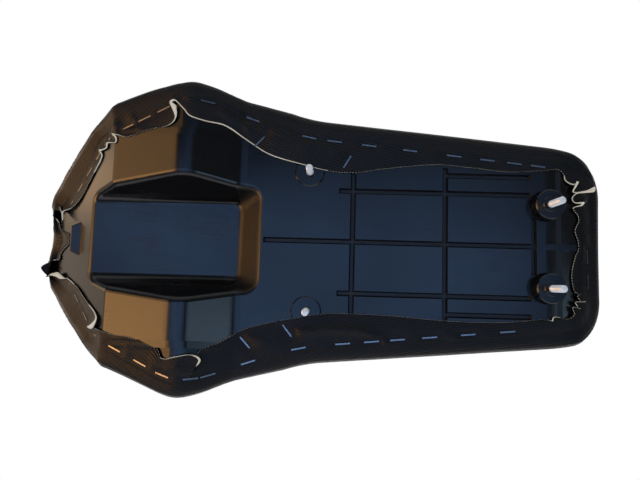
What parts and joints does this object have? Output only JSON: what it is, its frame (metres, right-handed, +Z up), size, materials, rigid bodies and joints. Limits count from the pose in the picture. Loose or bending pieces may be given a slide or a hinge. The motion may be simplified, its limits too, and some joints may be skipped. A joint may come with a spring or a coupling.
{
  "type": "pit bike seat",
  "caption": "Short narrow-tailed motorcycle seat: padded vinyl cover stapled under a moulded plastic pan with studs for bolting down and a boxed recess under the nose.",
  "frame": {"origin": "midway between the two front studs, on the flat underside of the pan", "axes": "+X towards the nose, +Y towards the rider's left, +Z up, out of the cushion's top"},
  "size_m": [0.523, 0.2658, 0.1502],
  "materials": {
    "pan_plastic": "moulded black plastic, glossy with fine scuffs",
    "foam": "open-cell foam",
    "vinyl": "black vinyl with a fine ribbed grain and a pale cloth backing",
    "staple_steel": "bright steel wire",
    "zinc": "bright zinc plate"
  },
  "bodies": {
    "root": {"seat_pan": "pan_plastic", "foam_cushion": "foam", "seat_cover": "vinyl", "staples": "staple_steel", "front_stud_left": "zinc", "front_stud_right": "zinc", "rear_stud_left": "zinc", "rear_stud_right": "zinc"}
  },
  "joints": []
}
